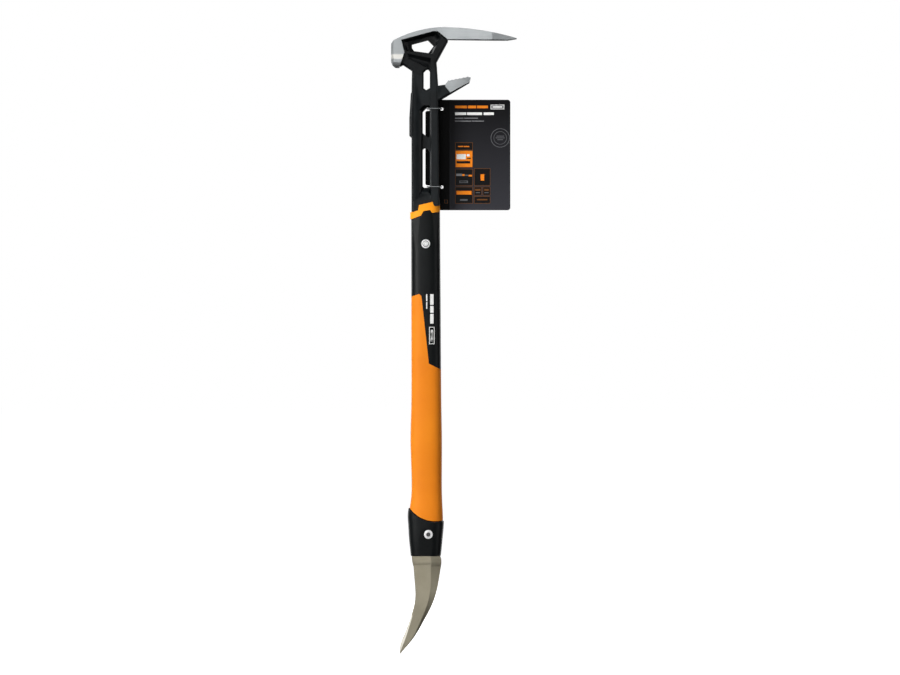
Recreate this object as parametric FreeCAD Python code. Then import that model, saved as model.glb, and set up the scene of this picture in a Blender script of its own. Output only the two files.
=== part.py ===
import FreeCAD
import Part
import math
import os

# A two-ended demolition bar, 762 mm long, standing on end with its head up.
# +Z runs up the handle, +X is the side that the upper claw points to, and Y is
# the depth. The origin is the middle of the hand grip, on the handle's axis.
#
# Inside the handle a flat-sided steel tube joins two forgings. Each forging
# has a tang that sits in the tube in a rubber isolator, and a cross screw with
# a sleeve nut goes through everything. A hard shell and a soft grip are moulded
# over the tube, and a collar closes its lower end. A printed card hangs from
# the head forging on two plastic ties.

V = FreeCAD.Vector
UP = V(0, 0, 1)
DEEP = V(0, 1, 0)
SIDEWAYS = V(1, 0, 0)

# Heights along the bar, mm.
grip_to_shell_top = 264.0  # from the middle of the grip to the top of the shell
grip_to_collar_end = 153.5  # from the middle of the grip to the collar's lower end
shank_length = 173.0  # from the top of the shell to the neck below the head
head_height = 52.5  # from the neck to the highest point of the head
claw_drop = 119.0  # from the collar's lower end to the lower claw's edge

# Handle section, mm.
handle_width = 35.4
handle_depth = 27.0
handle_roundness = 2.7  # exponent of the superellipse; 2 is an ellipse
shell_wall = 3.2  # from the tube to the handle's surface
grip_wall = 2.1  # soft grip over the shell
band_proud = 0.6  # how far the isolator's band stands out of the handle, on the left
tube_wall = 2.0
tube_corner_clearance = 0.2  # from the tube's corners to the soft grip
tube_top_drop = 14.0  # from the shell's top, on the right, down to the tube's end
isolator_wall = 1.6
isolator_floor = 3.0  # rubber past the end of a tang
isolator_flange = 3.5  # rubber between the tube's lower end and the claw
isolator_rise = 6.0  # how far the upper isolator goes up inside the band
tang_corner = 3.0
facet_turn = 29.0  # degrees from the front to a facet
facet_reach = 1.5  # from the handle's half depth to a facet at the shell's top
palm_swell = 1.4
swell_drop = 12.0  # the swell's middle, below the origin
swell_length = 34.0
end_flare = 4.0  # how far the left side stands out at the collar
flare_start_z = -grip_to_collar_end + 84.0
flare_end_z = -grip_to_collar_end + 40.0
station_count = 30  # sections that the handle is drawn through
collar_wall_top = 3.4  # how far the collar stands out past the handle at its top
collar_face = 2.4  # how far its front stands out past the handle, level with its screw
collar_grip_overlap = 38.0  # from the collar's end to where the shell goes into it
collar_rim = 2.0
collar_end_round = 1.2
collar_flat_sink = 0.45
collar_flat_lean = -5.5  # degrees, on top of the upright

# Head and shank, mm.
shank_depth = 25.0
web_thickness = 9.0
shank_edge_round = 3.0
poll_reach = 42.5  # from the handle's axis to the striking face
poll_width = 31.0
poll_round = 9.0
poll_bevel = 3.0
claw_reach = 110.5  # from the handle's axis to the upper claw's edge
claw_width = 40.0
claw_tip_narrowing = 3.0  # on each side, over the last stretch before the edge
nail_notch_mouth = 13.0
nail_notch_end = 3.4
nail_notch_length = 40.0
notch_bevel = 2.6  # how much wider a nail notch is on its open side
tine_width = 23.4
tine_grind = 0.8  # how deep the flats at its end are ground
tine_bevel = 3.2  # bevel along its lower edge
jaw_teeth = 5
jaw_tooth_depth = 0.7

# Lower claw, mm.
lower_claw_width = 44.0
lower_claw_spread = 9.0  # how much it widens on each side, from the collar to its edge
lower_notch_length = 38.0

# Tangs and cross screws, mm.
upper_tang_length = 88.0
lower_tang_length = 72.0
upper_screw_drop = 37.8  # below the top of the shell
upper_screw_x = -0.4
lower_screw_rise = 26.6  # above the collar's lower end
lower_screw_x = 2.8
sleeve_radius = 3.0
sleeve_wall = 0.95
screw_head_shoulder = 0.6  # from the sleeve's radius to a head's
screw_head_round = 0.99
screw_thread_length = 16.0
bush_wall = 2.0
washer_rim = 1.8  # from a head's radius to the washer's
washer_height = 1.5
washer_lip = 1.4  # how far its rim rises beside the screw's head
washer_bevel = 0.42
counterbore_gap = 0.5  # around a washer, in the plastic
head_proud = 0.5  # how far a screw head stands out of the handle
socket_across_flats = 3.4
socket_depth = 1.6
head_gap = 0.25  # around a head, in its washer
running_gap = 0.05

# Card and ties, mm.
card_thickness = 0.7
card_gap = 0.9  # between the shank and the card
card_width = 88.1  # from the card's left edge, behind the shank, to its right edge
card_overlap = 3.2  # how far the card reaches behind the shank
card_drop = 35.0  # from the neck to the card's top
card_height = 134.6
card_corner = 3.4
card_hole_radius = 1.9
card_hole_inset = 4.7  # from the card's left edge to its holes
card_tab_reach = 15.4  # how far the tab goes behind the shank
card_tab_corner = 2.5
card_tab_gap = 1.6  # from a tie to the end of the tab
upper_tie_drop = 46.4  # from the neck to the upper tie
lower_tie_drop = 141.4
tie_x = 1.2  # where a tie goes through the slots
tie_radius = 0.5
tie_clearance = 0.5  # between a tie and the shank's faces
tie_slack = 3.6  # how far a tie stands off behind the card
tie_bend = 3.5

# Heights worked out from the sizes above.
shell_top_z = grip_to_shell_top
collar_end_z = -grip_to_collar_end
neck_z = shell_top_z + shank_length
top_z = neck_z + head_height
claw_tip_z = collar_end_z - claw_drop
upper_screw_z = shell_top_z - upper_screw_drop
lower_screw_z = collar_end_z + lower_screw_rise
tube_top_z = shell_top_z - tube_top_drop
tube_end_z = collar_end_z + isolator_flange
shell_end_z = collar_end_z + collar_grip_overlap
upper_tie_z = neck_z - upper_tie_drop
lower_tie_z = neck_z - lower_tie_drop

half_width = handle_width / 2
half_depth = handle_depth / 2
screw_head_height = shell_wall + head_proud - washer_height  # the upper washers sit on the tube
shank_half = shank_depth / 2
web_half = web_thickness / 2
poll_half = poll_width / 2
tine_half = tine_width / 2
tube_half_width = half_width - shell_wall
tube_half_depth = half_depth - shell_wall
bore_half_width = tube_half_width - tube_wall
bore_half_depth = tube_half_depth - tube_wall
tang_half_width = bore_half_width - isolator_wall
tang_half_depth = bore_half_depth - isolator_wall
bush_radius = sleeve_radius + bush_wall
screw_radius = sleeve_radius - sleeve_wall - running_gap
screw_head_radius = sleeve_radius + screw_head_shoulder
washer_radius = screw_head_radius + washer_rim
card_left = half_width - card_overlap
card_top_z = neck_z - card_drop
hole_x = card_left + card_hole_inset
shank_back = shank_half + card_gap
upper_surface = half_depth  # where the front is, at each cross screw
lower_surface = half_depth + collar_face

far = 400.0  # reaches past the object on any side


def corner_inside_oval(half_x, half_y, oval_x, oval_y):
    """The smallest corner radius that keeps a rounded bar inside an oval of the handle's form."""
    low, high = 0.0, half_y
    for _ in range(30):
        corner = (low + high) / 2
        inset = corner * (1 - math.sqrt(0.5))
        across, deep = (half_x - inset) / oval_x, (half_y - inset) / oval_y
        if across**handle_roundness + deep**handle_roundness > 1:
            low = corner
        else:
            high = corner
    return high


under_grip = grip_wall + tube_corner_clearance
tube_corner = corner_inside_oval(
    tube_half_width, tube_half_depth, half_width - under_grip, half_depth - under_grip
)
bore_corner = tube_corner - tube_wall


# Small tools.


def in_xz(point, y=0.0):
    return V(point[0], y, point[1])


def in_xy(point, z=0.0):
    return V(point[0], point[1], z)


def outline(start, steps, lift):
    """A closed wire. A step is a point, or a pair of points for an arc."""
    edges = []
    here = start
    for step in list(steps) + [start]:
        if isinstance(step[0], tuple):
            middle, end = step
            edges.append(Part.Arc(lift(here), lift(middle), lift(end)).toShape())
        else:
            end = step
            if end == here:
                continue
            edges.append(Part.makeLine(lift(here), lift(end)))
        here = end
    return Part.Wire(edges)


def slab_xz(start, steps, half):
    """The outline in the XZ plane, made solid from -half to +half in Y."""
    wire = outline(start, steps, lambda p: in_xz(p, -half))
    return Part.Face(wire).extrude(DEEP * (2 * half))


def slab_xy(start, steps, low, high):
    wire = outline(start, steps, lambda p: in_xy(p, low))
    return Part.Face(wire).extrude(UP * (high - low))


def block(low, high):
    size = V(*high) - V(*low)
    return Part.makeBox(size.x, size.y, size.z, V(*low))


def rod_y(radius, low, high, x, z):
    return Part.makeCylinder(radius, high - low, V(x, low, z), DEEP)


def rounded_bar(half_x, half_y, corner, low, high, x=0.0):
    """An upright bar with a rounded rectangle for its section."""
    bar = block((x - half_x, -half_y, low), (x + half_x, half_y, high))
    upright = [e for e in bar.Edges if abs(e.tangentAt(e.FirstParameter).z) > 0.99]
    return bar.makeFillet(min(corner, half_x - 0.5, half_y - 0.5), upright)


def both_sides(tool):
    """The tool and its copy mirrored to the other face."""
    return [tool, tool.mirror(V(0, 0, 0), DEEP)]


def pocket(rim, floor, rim_y, floor_y):
    """A pocket with sloping walls, between an outline on the face and one on its floor."""
    wires = [
        Part.makePolygon([in_xz(p, y) for p in points + points[:1]])
        for points, y in ((rim, rim_y), (floor, floor_y))
    ]
    return Part.makeLoft(wires, True, True)


def shrink(points, amount):
    """Points moved towards the middle of their box, each side by about the amount."""
    low_x, high_x = min(p[0] for p in points), max(p[0] for p in points)
    low_z, high_z = min(p[1] for p in points), max(p[1] for p in points)
    mid_x, mid_z = (low_x + high_x) / 2, (low_z + high_z) / 2
    by_x = 1 - 2 * amount / (high_x - low_x)
    by_z = 1 - 2 * amount / (high_z - low_z)
    return [(mid_x + (x - mid_x) * by_x, mid_z + (z - mid_z) * by_z) for x, z in points]


# The handle's outer form.


def oval_wire(left, right, depth, z):
    """A superellipse from x = -left to x = right, and depth to each side in Y. It starts at the left."""
    middle = (right - left) / 2
    reach = (right + left) / 2
    power = 2 / handle_roundness
    points = []
    count = 28
    for i in range(count):
        a = math.pi + 2 * math.pi * i / count
        across = math.copysign(abs(math.cos(a)) ** power, math.cos(a))
        deep = math.copysign(abs(math.sin(a)) ** power, math.sin(a))
        points.append(V(middle + reach * across, depth * deep, z))
    curve = Part.BSplineCurve()
    curve.interpolate(Points=points, PeriodicFlag=True)
    return Part.Wire([curve.toShape()])


def eased(value, start, end):
    """0 before the start, 1 past the end and a smooth step between them."""
    share = min(max((value - start) / (end - start), 0.0), 1.0)
    return share * share * (3 - 2 * share)


def handle_growth(z):
    """What is added to the left, the right and the depth of the section at a height."""
    taper = (shell_top_z - z) / (shell_top_z - collar_end_z)
    swell = math.exp(-(((z + swell_drop) / swell_length) ** 2))
    flare = eased(-z, -flare_start_z, -flare_end_z)
    left = 0.5 - 1.0 * taper + palm_swell * swell + end_flare * flare
    right = -0.7 + 2.7 * taper + 0.35 * palm_swell * swell + 0.3 * end_flare * flare
    depth = 0.4 * taper + 0.7 * palm_swell * swell + 0.5 * end_flare * flare
    return left, right, depth


def handle_form(grow, low, high):
    """The handle's form, grown by so much all round, between two heights."""
    wires = []
    top, end = shell_top_z + 30, collar_end_z + 33
    for i in range(station_count):
        z = end + (top - end) * i / (station_count - 1)
        left, right, depth = handle_growth(z)
        wire = oval_wire(half_width + left + grow, half_width + right + grow, half_depth + depth + grow, z)
        wires.append(wire)
    form = Part.makeLoft(wires, True, False)
    return form.common(block((-far, -far, low), (far, far, high)))


# The stepped joint between the shank and the shell, where the isolator shows.
joint_top = [
    (-far, shell_top_z + 0.7),
    (-half_width, shell_top_z + 0.7),
    (-9.7, shell_top_z + 2.6),
    (-8.5, shell_top_z + 9.2),
    (7.9, shell_top_z + 13.1),
    (10.0, shell_top_z + 8.0),
    (half_width, shell_top_z + 8.5),
    (far, shell_top_z + 8.5),
]
joint_bottom = [
    (-far, shell_top_z - 7.8),
    (-half_width, shell_top_z - 7.8),
    (-6.1, shell_top_z - 3.5),
    (-3.2, shell_top_z + 1.9),
    (4.9, shell_top_z + 3.2),
    (7.3, shell_top_z - 0.2),
    (half_width, shell_top_z + 1.3),
    (far, shell_top_z + 1.3),
]


def above(line):
    """Everything above a stepped line."""
    return slab_xz((-far, line[0][1]), line[1:] + [(far, top_z + far), (-far, top_z + far)], far)


def below(line):
    return slab_xz((-far, line[0][1]), line[1:] + [(far, -far), (-far, -far)], far)


# The line between the shell and the soft grip, and the curve where the grip meets the collar.
grip_top_line = [
    (-far, 162.0),
    (-half_width, 162.0),
    (-8.6, 165.2),
    (-5.6, 162.6),
    (3.4, 80.6),
    (half_width + 1, 73.0),
    (far, 73.0),
]
collar_curve_x = 11.2
collar_curve_z = collar_end_z + 80.7
collar_curve_radius = 38.1


def above_collar_curve():
    """Everything above the concave curve, which is part of a drum that lies along Y."""
    drum = rod_y(collar_curve_radius, -far, far, collar_curve_x, collar_curve_z)
    return drum.fuse(block((-far, -far, collar_curve_z), (far, far, far)))


# Forgings.


def screw_hole(radius, x, z):
    return rod_y(radius, -far, far, x, z)


def cap():
    """The poll, the ridge over the window and the upper claw: the ground steel of the head."""
    side = slab_xz(
        (-32.6, neck_z + 3.2),
        [
            (-poll_reach + 5.6, neck_z + 3.4),
            ((-poll_reach + 1.9, neck_z + 6.3), (-poll_reach, neck_z + 12.0)),
            (-poll_reach, neck_z + 32.0),
            (-poll_reach + 2.7, neck_z + 36.3),
            ((-12.5, neck_z + 47.4), (22.0, top_z)),
            (40.0, neck_z + 51.6),
            ((74.0, neck_z + 47.4), (claw_reach, neck_z + 38.8)),
            (claw_reach - 11, neck_z + 37.0),
            (26.3, neck_z + 37.6),
            (14.2, neck_z + 47.4),
            (9.4, neck_z + 47.7),
            (-30.2, neck_z + 37.1),
            (-26.4, neck_z + 21.9),
        ],
        far,
    )
    half_claw = claw_width / 2
    plan = slab_xy(
        (-poll_reach, -poll_half + poll_bevel),
        [
            (-poll_reach + poll_bevel, -poll_half),
            (16.0, -poll_half),
            (claw_reach - 30, -half_claw),
            (claw_reach, -half_claw + claw_tip_narrowing),
            (claw_reach, half_claw - claw_tip_narrowing),
            (claw_reach - 30, half_claw),
            (16.0, poll_half),
            (-poll_reach + poll_bevel, poll_half),
            (-poll_reach, poll_half - poll_bevel),
        ],
        neck_z - 10,
        top_z + 10,
    )
    solid = side.common(plan)
    return solid.cut(poll_corner_tools()).cut(upper_notch())


def poll_corner_tools():
    """What is taken off the poll's two lower corners to round them."""
    low = neck_z + 3.0
    corner = block((-far, poll_half - poll_round, low - 5), (-24.0, far, low + poll_round))
    drum = Part.makeCylinder(
        poll_round, far, V(-far, poll_half - poll_round, low + poll_round), SIDEWAYS
    )
    return Part.makeCompound(both_sides(corner.cut(drum)))


def notch_tool(mouth, end, length, lift, narrow, wide):
    """A tapered nail notch. Its outline grows from the narrow level to the wide one."""
    wires = []
    for level, extra in ((narrow, 0.0), (wide, notch_bevel)):
        half_mouth, half_end = mouth / 2 + extra, end / 2 + extra
        points = [
            (2.0, -half_mouth),
            (-length, -half_end),
            (-length - half_end * 0.8, 0.0),
            (-length, half_end),
            (2.0, half_mouth),
        ]
        wires.append(Part.makePolygon([lift(p, level) for p in points + points[:1]]))
    return Part.makeLoft(wires, True, True)


def upper_notch():
    def lift(point, level):
        return V(claw_reach + point[0], point[1], level)

    return notch_tool(
        nail_notch_mouth, nail_notch_end, nail_notch_length, lift, neck_z + 34, neck_z + 50
    )


def beam():
    """The dark forged frame: the shank, the head's web and flanges, before its pockets."""
    heel_x = half_width + 2.7
    solid = slab_xz(
        (half_width - 0.5, shell_top_z - 20),
        [
            (15.2, neck_z - 25),
            (13.4, neck_z + 3),
            (12.8, neck_z + 9.5),
            (26.6, neck_z + 35),
            (26.6, neck_z + 38),
            (14.2, neck_z + 48.5),
            (9.4, neck_z + 48.8),
            (-31.2, neck_z + 38),
            (-30.0, neck_z + 22),
            (-31.5, neck_z + 4.5),
            (-28.0, neck_z + 6.7),
            (-17.2, neck_z - 0.4),
            (-half_width, neck_z - 27),
            (-half_width - 0.9, neck_z - 28),
            (-heel_x, neck_z - 58),
            (-heel_x, neck_z - 79.4),
            (-half_width, neck_z - 81.8),
            (-half_width, shell_top_z - 20),
        ],
        shank_half,
    )
    rim = [e for e in solid.Edges if abs(abs(e.CenterOfMass.y) - shank_half) < 0.01]
    return solid.makeFillet(shank_edge_round, rim)


# Outlines of the pockets, on the shank's face.
window_rim = [
    (-28.4, neck_z + 36.4),
    (8.6, neck_z + 46.6),
    (13.4, neck_z + 46.2),
    (18.4, neck_z + 40.6),
    (7.6, neck_z + 19.8),
    (-24.0, neck_z + 23.0),
]
window_floor = [
    (-24.4, neck_z + 34.2),
    (5.6, neck_z + 41.6),
    (8.8, neck_z + 41.2),
    (13.2, neck_z + 35.4),
    (4.8, neck_z + 20.8),
    (-21.0, neck_z + 23.8),
]
window = [
    (-17.2, neck_z + 31.4),
    (2.2, neck_z + 36.6),
    (9.2, neck_z + 29.6),
    (3.0, neck_z + 21.2),
    (-14.6, neck_z + 23.6),
    (-17.0, neck_z + 27.2),
]
gusset_rim = [
    (-23.4, neck_z + 21.2),
    (6.0, neck_z + 15.6),
    (5.2, neck_z + 3.0),
    (-0.8, neck_z + 3.6),
    (-23.4, neck_z + 15.2),
]
gusset_floor = [
    (-20.6, neck_z + 16.4),
    (4.2, neck_z + 9.6),
    (4.4, neck_z + 4.4),
    (0.6, neck_z + 4.6),
    (-20.6, neck_z + 15.4),
]
side_recess = [
    (-15.6, neck_z + 1.4),
    (-2.6, neck_z - 6.4),
    (5.6, neck_z - 6.4),
    (5.6, neck_z - 156.0),
    (-16.2, neck_z - 160.0),
    (-16.2, neck_z - 26.0),
]
upper_slot = [
    (-2.9, neck_z - 2.4),
    (0.4, neck_z + 0.9),
    (2.6, neck_z + 1.3),
    (4.6, neck_z - 1.2),
    (4.6, neck_z - 21.4),
    (0.2, neck_z - 24.0),
    (-2.9, neck_z - 21.8),
]
pocket_rim = [
    (-9.0, neck_z - 48.4),
    (-4.4, neck_z - 42.4),
    (4.6, neck_z - 41.8),
    (6.2, neck_z - 44.8),
    (6.2, neck_z - 154.0),
    (2.4, neck_z - 149.0),
    (-5.0, neck_z - 149.0),
    (-9.0, neck_z - 154.0),
]
pocket_floor = [
    (-4.6, neck_z - 49.6),
    (-2.4, neck_z - 45.4),
    (4.2, neck_z - 44.6),
    (5.2, neck_z - 46.6),
    (5.2, neck_z - 143.6),
    (4.0, neck_z - 143.6),
    (-3.6, neck_z - 143.6),
    (-4.6, neck_z - 143.6),
]
slot_upper_half = [
    (-4.0, neck_z - 50.4),
    (1.6, neck_z - 44.8),
    (4.2, neck_z - 46.4),
    (4.2, neck_z - 81.0),
    (1.8, neck_z - 81.0),
    (-4.0, neck_z - 76.4),
]
slot_lower_half = [
    (-4.0, neck_z - 96.6),
    (-2.4, neck_z - 94.8),
    (1.4, neck_z - 94.8),
    (4.2, neck_z - 98.8),
    (4.2, neck_z - 141.0),
    (2.6, neck_z - 142.6),
    (-2.4, neck_z - 142.6),
    (-4.0, neck_z - 141.0),
]
rim_slope = 1.9  # how far a slot's bevel spreads on the face
gusset_sink = 3.0
recess_sink = 0.8


def through(points):
    """A hole of that outline, right through."""
    return slab_xz(points[0], points[1:], far)


def frame_tools():
    """Everything that is taken out of the beam."""
    face = shank_half + 0.5
    floor = shank_half - recess_sink
    slot_rim = shrink(upper_slot, -rim_slope)
    tools = both_sides(pocket(window_rim, window_floor, -face, -web_half))
    tools += both_sides(pocket(pocket_rim, pocket_floor, -face, -web_half))
    tools += both_sides(pocket(slot_rim, upper_slot, -face, -shank_half + 3.4))
    tools += both_sides(pocket(gusset_rim, gusset_floor, -face, -shank_half + gusset_sink))
    tools += both_sides(pocket(side_recess, shrink(side_recess, recess_sink), -face, -floor))
    tools += [through(window), through(upper_slot), through(slot_upper_half)]
    tools.append(through(slot_lower_half))
    return tools


def jaw_tine():
    """The short tine below the upper claw, with shallow teeth along its top."""
    first, last = (27.2, neck_z - 12.2), (50.4, neck_z - 7.7)
    teeth = [first]
    for i in range(jaw_teeth):
        for share, sink in ((0.3, jaw_tooth_depth), (1.0, 0.0)):
            along = (i + share) / jaw_teeth
            x = first[0] + (last[0] - first[0]) * along
            z = first[1] + (last[1] - first[1]) * along - sink
            teeth.append((x, z))
    heel, toe = (19.0, neck_z - 35.2), (52.6, neck_z - 15.2)
    steps = [(23.0, neck_z - 17.4)] + teeth + [(54.4, neck_z - 8.7), toe, heel, (8.0, neck_z - 36.5)]
    solid = slab_xz((8.0, neck_z - 19.6), steps, tine_half)
    plan = [(30.0, -tine_half), (56.0, -tine_half + 2.4), (56.0, tine_half - 2.4)]
    plan += [(30.0, tine_half), (0.0, tine_half)]
    solid = solid.common(slab_xy((0.0, -tine_half), plan, neck_z - 60, neck_z))
    return solid.cut(tine_grinding(heel, toe))


def tine_grinding(heel, toe):
    """Flats ground on both sides of the tine's end, and the bevels along its lower edge."""
    flat = slab_xz(
        (23.2, neck_z - 19.6),
        [(29.4, neck_z - 27.4), (60.0, neck_z - 9.4), (60.0, neck_z), (23.2, neck_z)],
        tine_half,
    )
    flat.translate(V(0, -2 * tine_half + tine_grind, 0))
    bevel = block((-10, -tine_half, -far), (60, 0, 0))
    bevel.rotate(V(0, 0, 0), SIDEWAYS, -35)
    bevel.translate(V(0, -tine_half + tine_bevel, 0))
    slope = math.degrees(math.atan2(toe[1] - heel[1], toe[0] - heel[0]))
    bevel.rotate(V(0, 0, 0), DEEP, -slope)
    bevel.translate(V(heel[0], 0, heel[1]))
    return Part.makeCompound(both_sides(flat) + both_sides(bevel))


def upper_tang():
    bar = tang_space(shell_top_z - upper_tang_length, shell_top_z + 16)
    return bar.cut(screw_hole(bush_radius, upper_screw_x, upper_screw_z))


def head_forging():
    frame = beam().cut(frame_tools()).common(above(joint_top))
    return frame.fuse([cap(), jaw_tine(), upper_tang()]).removeSplitter()


# Each section of the lower claw: its front and back points, how far it spreads,
# its back bevel (along and in) and its front bevel (along and in). Heights are
# from the collar's end.
claw_sections = [
    ((-17.2, 0.0), (17.0, 0.0), 0.0, (11.6, 4.6), (0.5, 0.5)),
    ((-15.2, -13.0), (18.0, -13.0), 0.4, (12.2, 4.8), (0.6, 0.6)),
    ((-13.6, -33.0), (14.8, -33.0), 1.6, (9.2, 4.8), (0.6, 0.6)),
    ((-13.4, -54.0), (7.6, -58.0), 3.6, (5.8, 4.2), (0.7, 0.7)),
    ((-17.2, -70.0), (-3.2, -79.0), 5.8, (3.4, 3.0), (1.2, 1.0)),
    ((-24.2, -90.0), (-14.4, -98.0), 7.6, (1.4, 1.4), (2.4, 2.0)),
    ((-30.4, -105.0), (-24.6, -110.5), 8.6, (0.6, 0.6), (3.4, 3.0)),
    ((-31.9, -claw_drop + 3.6), (-31.2, -claw_drop), lower_claw_spread, (0.4, 0.4), (1.2, 1.2)),
]


def claw_wire(front, back, spread, back_bevel, front_bevel, grow=0.0):
    """An eight-sided section: a flat front and back, two sides and a bevel at each corner."""
    start, end = V(front[0], 0, collar_end_z + front[1]), V(back[0], 0, collar_end_z + back[1])
    along = (end - start).normalize()
    half = lower_claw_width / 2 - lower_claw_spread + spread + grow
    start, end = start - along * grow, end + along * grow
    inner, outer = start + along * front_bevel[0], end - along * back_bevel[0]
    near = [
        start + DEEP * (half - front_bevel[1]),
        inner + DEEP * half,
        outer + DEEP * half,
        end + DEEP * (half - back_bevel[1]),
    ]
    points = near + [V(p.x, -p.y, p.z) for p in reversed(near)]
    return Part.makePolygon(points + points[:1])


def lower_notch():
    def lift(point, level):
        return V(level, point[1], claw_tip_z - point[0])

    return notch_tool(nail_notch_mouth, nail_notch_end, lower_notch_length, lift, 10.0, -40.0)


def shoulder_band():
    """A soft raised band round the lower claw, just under the collar."""
    shape = ((11.8, 4.6), (0.6, 0.6))
    wires = [
        claw_wire((-17.2, 0.0), (17.0, 0.0), 0.0, *shape, 0.1),
        claw_wire((-16.6, -4.0), (17.6, -4.0), 0.1, *shape, 0.5),
        claw_wire((-15.9, -8.5), (17.9, -8.5), 0.2, *shape, 0.5),
        claw_wire((-15.3, -13.0), (18.0, -13.0), 0.4, *shape, -0.3),
    ]
    return Part.makeLoft(wires, True, False)


def lower_tang():
    bar = tang_space(collar_end_z - 2, collar_end_z + lower_tang_length)
    return bar.cut(screw_hole(bush_radius, lower_screw_x, lower_screw_z))


def claw_forging():
    blade = Part.makeLoft([claw_wire(*s) for s in claw_sections], True, False)
    blade = blade.cut(lower_notch())
    return blade.fuse([shoulder_band(), lower_tang()]).removeSplitter()


# Handle pieces.


def tube_space(low, high):
    """Everything inside the tube's outer surface."""
    return rounded_bar(tube_half_width, tube_half_depth, tube_corner, low, high)


def bore_space(low, high):
    """Everything inside the tube's bore."""
    return rounded_bar(bore_half_width, bore_half_depth, bore_corner, low, high)


def core_tube():
    tube = tube_space(tube_end_z, tube_top_z).cut(bore_space(tube_end_z, tube_top_z))
    return tube.cut(cross_holes())


def cross_holes():
    hole = sleeve_radius + running_gap
    return [screw_hole(hole, upper_screw_x, upper_screw_z), screw_hole(hole, lower_screw_x, lower_screw_z)]


def tang_space(low, high):
    """The room that a tang takes up."""
    return rounded_bar(tang_half_width, tang_half_depth, tang_corner, low, high)


def joint_band():
    """The stepped rubber band that shows between the shank and the shell."""
    band = handle_form(band_proud, shell_top_z - 20, shell_top_z + 20)
    band.translate(V(-band_proud, 0, 0))
    band = band.common(above(joint_bottom)).common(below(joint_top))
    inside = [bore_space(shell_top_z - 30, shell_top_z + isolator_rise)]
    inside.append(tang_space(shell_top_z - 30, shell_top_z + 30))
    return band.cut(inside).removeSplitter()


def upper_isolator():
    """A cup round the upper tang, inside the tube and the band."""
    tang_end = shell_top_z - upper_tang_length
    cup = bore_space(tang_end - isolator_floor, shell_top_z + isolator_rise).common(below(joint_top))
    return cup.cut([tang_space(tang_end, shell_top_z + 30)] + cross_holes()).removeSplitter()


def lower_isolator():
    """A cup round the lower tang, with a flange between the tube's end and the claw."""
    tang_end = collar_end_z + lower_tang_length
    cup = bore_space(tube_end_z, tang_end + isolator_floor)
    cup = cup.fuse(tube_space(collar_end_z, tube_end_z))
    return cup.cut([tang_space(collar_end_z - 5, tang_end)] + cross_holes()).removeSplitter()


def washer_seats(x, z, surface):
    """The counterbores for both washers of a cross screw."""
    radius = washer_radius + counterbore_gap
    floor = surface + head_proud - screw_head_height - washer_height
    return [rod_y(radius, -far, -floor, x, z), rod_y(radius, floor, far, x, z)]


def facet_planes():
    """Four long flats on the shell's upper end, which run out as they go down."""
    tools = []
    for turn, lean in ((-90 - facet_turn, 1.45), (-90 + facet_turn, 0.95)):
        tool = block((0, -far, -far), (far, far, far))
        tool.rotate(V(0, 0, 0), DEEP, -lean)
        tool.translate(V(half_depth + facet_reach, 0, shell_top_z))
        tool.rotate(V(0, 0, 0), UP, turn)
        tools += both_sides(tool)
    return tools


def handle_shell():
    """The hard shell: it shows above the grip and goes on under it as a thin layer."""
    shown = handle_form(0, 0, shell_top_z + 20)
    shown = shown.common(below(joint_bottom)).common(above(grip_top_line)).cut(facet_planes())
    inner = handle_form(-grip_wall, shell_end_z, shell_top_z - 60)
    shell = shown.fuse(inner)
    shell = shell.cut([tube_space(shell_end_z - 1, tube_top_z), bore_space(tube_top_z - 1, shell_top_z + 20)])
    shell = shell.cut(washer_seats(upper_screw_x, upper_screw_z, upper_surface))
    return shell.cut(cross_holes()).removeSplitter()


def soft_grip():
    grip = handle_form(0, collar_end_z + 36, 175).common(below(grip_top_line))
    grip = grip.common(above_collar_curve())
    return grip.cut(handle_form(-grip_wall, collar_end_z + 35, 180)).removeSplitter()


def collar_form():
    """The collar's outer form, tapering down to the claw."""
    out = collar_wall_top
    stations = [
        (collar_end_z + 68, out - 2.6, out + 0.4, 3.2),
        (collar_end_z + 60, out - 0.2, out + 0.6, 3.4),
        (collar_end_z + 52, out + 1.2, out + 0.6, 3.4),
        (collar_end_z + 40, out + 0.8, out + 0.6, 3.1),
        (collar_end_z + 26, out + 0.0, out - 0.5, 2.4),
        (collar_end_z + 12, out - 1.2, out - 1.8, 1.2),
        (collar_end_z, 1.0, 0.2, 0.0),
    ]
    wires = [oval_wire(half_width + a, half_width + b, half_depth + c, z) for z, a, b, c in stations]
    form = Part.makeLoft(wires, True, False)
    lower = [e for e in form.Edges if abs(e.CenterOfMass.z - collar_end_z) < 0.1]
    return form.makeFillet(collar_end_round, lower).cut(collar_flats())


def collar_flats():
    """A shallow flat below each end of the cross screw, deepest at the collar's end."""
    tool = block((-far, 0, -far), (far, far, far))
    tool.rotate(V(0, 0, 0), SIDEWAYS, collar_flat_lean)
    tool.translate(V(0, half_depth - collar_flat_sink, collar_end_z))
    return both_sides(tool)


def end_collar():
    collar = collar_form().cut(above_collar_curve())
    rim = [e for e in collar.Edges if e.BoundBox.ZMin > collar_end_z + 30]
    collar = collar.makeChamfer(collar_rim, rim)
    collar = collar.cut(tube_space(collar_end_z - 5, shell_end_z + 1))
    collar = collar.cut(handle_form(-grip_wall, shell_end_z, collar_end_z + 70))
    collar = collar.cut(washer_seats(lower_screw_x, lower_screw_z, lower_surface))
    return collar.cut(cross_holes()).removeSplitter()


# Cross screws.


def hex_socket(x, z, mouth_y):
    """A six-sided socket that opens towards -Y."""
    radius = socket_across_flats / math.sqrt(3)
    points = []
    for i in range(7):
        a = math.radians(60 * i)
        points.append(V(x + radius * math.cos(a), mouth_y - 1, z + radius * math.sin(a)))
    return Part.Face(Part.makePolygon(points)).extrude(DEEP * (1 + socket_depth))


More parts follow.
